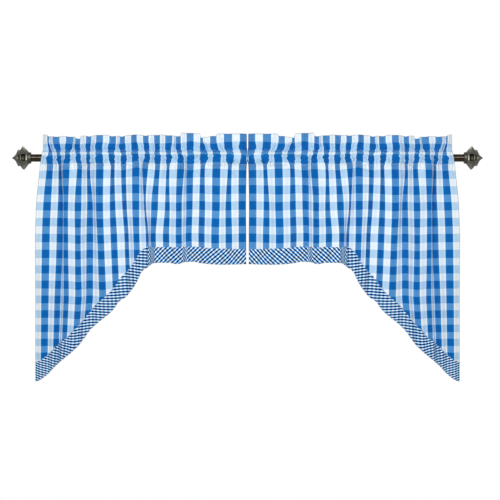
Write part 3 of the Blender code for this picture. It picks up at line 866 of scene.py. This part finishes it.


# The finial, from the rod's end outwards: distance from its inner face, reach of its four wings, half the width of a
# wing's end, reach in the middle of that end, how deep the sides between wings are scooped, and how far the plate there
# is brightened (1) with wear and a painted highlight, or darkened (-1) with patina and painted shade. A stage without a
# wing width is round.
finial = {
    "innerFace": 802.0,
    "boreDepth": 20.0,
    "boreRadius": 14.35,
    "pointsAWing": 10,
    "pointsASide": 14,
    "endSharpness": 6,  # how flat a wing's end stays before it rises to its corners
    "cornerRubbed": 0.1,
    "scoopDarker": 0.3,
    "stages": (
        # along, reach, wing, middle, scoop, wear and painted light
        (0.0, 14.8, None, 0, 0, 0), (0.0, 20.4, None, 0, 0, -0.2), (0.6, 21.2, None, 0, 0, -0.3),
        (2.6, 21.2, None, 0, 0, -0.5), (3.2, 20.3, None, 0, 0, -0.8), (4.2, 20.3, None, 0, 0, -0.8),
        (4.8, 21.2, None, 0, 0, -0.6), (6.8, 21.2, None, 0, 0, -0.6), (7.4, 20.2, None, 0, 0, -0.9),
        (8.4, 20.4, None, 0, 0, -0.7), (9.2, 22.4, 11.0, 21.6, 0.4, 0.2), (10.4, 23.6, 11.2, 24.0, 0.8, 0.8),
        (12.2, 25.6, 11.5, 25.4, 1.6, 1), (14.4, 28.2, 11.8, 26.0, 2.6, 1), (16.2, 30.2, 12.2, 26.0, 3.8, 0.7),
        (17.4, 31.7, 12.4, 23.0, 4.6, -0.3), (18.6, 33.2, 12.8, 19.0, 5.2, -0.9), (20.6, 35.8, 13.0, 17.2, 6.0, -1),
        (22.8, 38.6, 13.2, 16.6, 7.0, -1), (25.2, 41.7, 13.4, 16.3, 7.8, -1), (26.6, 43.3, 13.2, 16.2, 7.8, -1),
        (27.6, 43.3, 13.0, 16.2, 7.8, -1), (28.8, 42.0, 12.8, 16.3, 7.4, -1), (30.8, 39.6, 12.4, 17.0, 6.2, -0.9),
        (31.8, 38.3, 12.2, 19.0, 5.6, -0.6), (33.0, 36.8, 12.0, 24.0, 5.0, 0.1), (34.0, 35.4, 11.6, 27.2, 4.6, 0.3),
        (36.0, 32.6, 11.0, 28.2, 3.9, 0.2), (37.4, 31.0, 10.6, 27.6, 3.5, -0.2), (38.4, 30.2, 10.4, 25.0, 3.3, -0.8),
        (40.0, 29.2, 10.2, 23.0, 3.2, -1), (43.0, 29.2, 9.9, 22.4, 3.5, -1), (45.0, 30.0, 9.6, 22.2, 3.9, -1),
        (46.2, 30.4, 9.4, 22.4, 4.0, -0.8), (47.2, 29.6, 9.0, 23.4, 4.0, -0.3), (48.4, 27.4, 8.6, 23.6, 3.6, 0.1),
        (50.0, 24.0, 7.8, 22.4, 3.0, 0.1), (52.5, 18.8, 6.6, 18.6, 2.2, 0.3), (55.2, 13.6, 5.2, 14.0, 1.6, 0.2),
        (58.0, 9.8, 3.8, 10.2, 1.1, 0), (61.0, 6.8, 2.7, 7.1, 0.7, 0), (64.0, 4.6, 1.8, 4.8, 0.4, 0),
        (67.0, 2.9, 1.2, 3.0, 0.2, 0), (68.8, 1.6, 0.7, 1.7, 0.0, 0), (69.4, 0.5, 0.2, 0.5, 0.0, 0),
    ),
}


def ringPoint(i, reach, wing, middle, scoop, wearAndPaintedLight):
    # one place round a stage of the finial, as (0, back, height), and its wear and painted light there: patina and
    # painted shade below 0, wear and a painted highlight above
    wingSteps, sideSteps = finial["pointsAWing"], finial["pointsASide"]
    steps = wingSteps + sideSteps
    if wing is None:
        turn = 2 * math.pi * i / (4 * steps)
        return Vector((0, reach * math.sin(turn), reach * math.cos(turn))), wearAndPaintedLight
    quarter, step = divmod((i + wingSteps // 2) % (4 * steps), steps)
    if step <= wingSteps:
        part = abs(2 * step / wingSteps - 1)
        corner = part ** finial["endSharpness"]
        point = Vector((0, wing * (2 * step / wingSteps - 1), middle + (reach - middle) * corner))
        wearAndPaintedLight = wearAndPaintedLight * (1 - corner) + finial["cornerRubbed"] * corner
    else:
        part = (step - wingSteps) / sideSteps
        start, end = Vector((0, wing, reach)), Vector((0, reach, wing))
        inward = -Vector((0, 1, 1)).normalized() * scoop * math.sin(math.pi * part)
        point = start.lerp(end, part) + inward
        wearAndPaintedLight = finial["cornerRubbed"] - finial["scoopDarker"] * math.sin(math.pi * part)
    return Matrix.Rotation(-quarter * math.pi / 2, 3, "X") @ point, wearAndPaintedLight


def makeFinial(hand, name, node, material):
    # the bore's floor, out along the bore, round the collar and wings to the tip, ring by ring
    mesh = bmesh.new()
    bore = finial["boreDepth"], finial["boreRadius"], None, 0, 0, -1
    mouth = 0.4, finial["boreRadius"], None, 0, 0, -0.5
    points = 4 * (finial["pointsAWing"] + finial["pointsASide"])
    stages = [bore, mouth, *finial["stages"]]
    wearAndLightLayer = mesh.verts.layers.float.new("wearAndPaintedLight")
    ring = bmesh.ops.create_circle(mesh, cap_ends=True, segments=points, radius=1.0)["verts"]
    ring.sort(key=lambda vertex: math.atan2(vertex.co.y, vertex.co.x) % (2 * math.pi))
    for number, (along, *section) in enumerate(stages):
        if number:
            edges = [edge for edge in mesh.edges if edge.verts[0] in ringSet and edge.verts[1] in ringSet]
            made = bmesh.ops.extrude_edge_only(mesh, edges=edges)["geom"]
            fresh = {v for v in made if isinstance(v, bmesh.types.BMVert)}
            ring = [next(e.other_vert(v) for e in v.link_edges if e.other_vert(v) in fresh) for v in ring]
        ringSet = set(ring)
        for i, vertex in enumerate(ring):
            point, vertex[wearAndLightLayer] = ringPoint(i, *section)
            point.x = finial["innerFace"] + along
            vertex.co = (point.x * hand * millimetre, point.y * millimetre, point.z * millimetre)
    bmesh.ops.contextual_create(mesh, geom=ring)
    bmesh.ops.recalc_face_normals(mesh, faces=mesh.faces)
    piece = finishPiece(name, mesh, material, sharpAngle=28)
    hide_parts(node)
    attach(piece, "root")
    return piece


print("materials")
# the large gingham paints shade over its gathers and into its creases
largeGingham = makeGingham("yarnDyedPlainWeaveCotton", {
    "check": panel["check"], "white": "#EAF4FB", "pale": "#B6D9F4", "middle": "#3C8ACA", "deep": "#0061AE",
    "warpShare": 0.52, "weftShare": 0.53, "thread": 2.2, "yarnShare": 0.1, "slub": 0.16, "crumple": 0.6,
    "creaseShade": 0.26, "gatherShadeShare": 0.28, "flecks": 0.45, "drawn": "#6CC0F4",
})
smallGingham = makeGingham("yarnDyedSmallCheckCotton", {
    "check": border["check"], "white": "#F6FFFF", "pale": "#92D8FF", "middle": "#0058B0", "deep": "#001044",
    "warpShare": 0.57, "weftShare": 0.5, "thread": 2.2, "yarnShare": 0.0, "slub": 0.1, "crumple": 0.0,
    "creaseShade": 0.0, "gatherShadeShare": 0.0, "flecks": 0.0, "drawn": "#6CC0F4",
})
sewingThread = makeThread()
rodEnamel = makeEnamel()
finialPewter = makePewter()

print("panels, borders and their stitching")
for hand, side in ((-1, "Left"), (1, "Right")):
    node = side.lower()
    sewn = makeStitching(hand, "stitching" + side, sewingThread)
    clothPanel = makePanel(hand, "panel" + side, "panel_" + node, largeGingham)
    clothBorder = makeBorder(hand, "border" + side, "border_" + node, smallGingham)

print("rod and finials")
makeRod("curtainRod", "rod", rodEnamel)
makeFinial(-1, "finialLeft", "finial_left", finialPewter)
makeFinial(1, "finialRight", "finial_right", finialPewter)

studio = {
    "floorHeight": -2100.0,
    "floorSize": 10000.0,
    "fill": 0.36,
    "keyPlace": (-0.1, -3.6, 1.15),
    "keySize": (3.7, 0.6),
    "keyAim": (0, 0, -0.3),
    "keyPower": 126.0,
    "cameraPlace": (0.00926, -6.0, -0.34089),
    "frameWidth": 1.852,
    "sensor": 36.0,
}

print("floor, light and camera")
floorMesh = bmesh.new()
bmesh.ops.create_grid(
    floorMesh, x_segments=1, y_segments=1, size=studio["floorSize"] / 2 * millimetre,
    matrix=Matrix.Translation((0, 0, studio["floorHeight"] * millimetre)),
)
floor = finishPiece("floor", floorMesh, makeFloorPaint())

world = bpy.data.worlds.new("paleStudio")
bpy.context.scene.world = world
world.use_nodes = True
world.node_tree.nodes.clear()
seen = addNode(world.node_tree, "LightPath").outputs["Is Camera Ray"]
white = addNode(world.node_tree, "Background", {"Color": (1, 1, 1, 1), "Strength": 1.0})
soft = addNode(world.node_tree, "Background", {"Color": (1, 1, 1, 1), "Strength": studio["fill"]})
both = addNode(world.node_tree, "MixShader", {0: seen, 1: soft, 2: white})
addNode(world.node_tree, "OutputWorld", {"Surface": both})


def addSoftbox(name, spot, aim, size, power):
    light = bpy.data.lights.new(name, "AREA")
    light.shape = "RECTANGLE"
    light.size, light.size_y = size
    light.energy = power
    lamp = bpy.data.objects.new(name, light)
    lamp.location = spot
    lamp.rotation_euler = (Vector(aim) - Vector(spot)).to_track_quat("-Z", "Y").to_euler()
    bpy.context.scene.collection.objects.link(lamp)


addSoftbox("keySoftbox", studio["keyPlace"], studio["keyAim"], studio["keySize"], studio["keyPower"])

cameraData = bpy.data.cameras.new("camera")
cameraData.sensor_width = studio["sensor"]
cameraData.lens = studio["sensor"] * -studio["cameraPlace"][1] / studio["frameWidth"]
camera = bpy.data.objects.new("camera", cameraData)
camera.location = studio["cameraPlace"]
camera.rotation_euler = (math.pi / 2, 0, 0)
bpy.context.scene.collection.objects.link(camera)
bpy.context.scene.camera = camera
bpy.context.scene.view_settings.view_transform = "Standard"
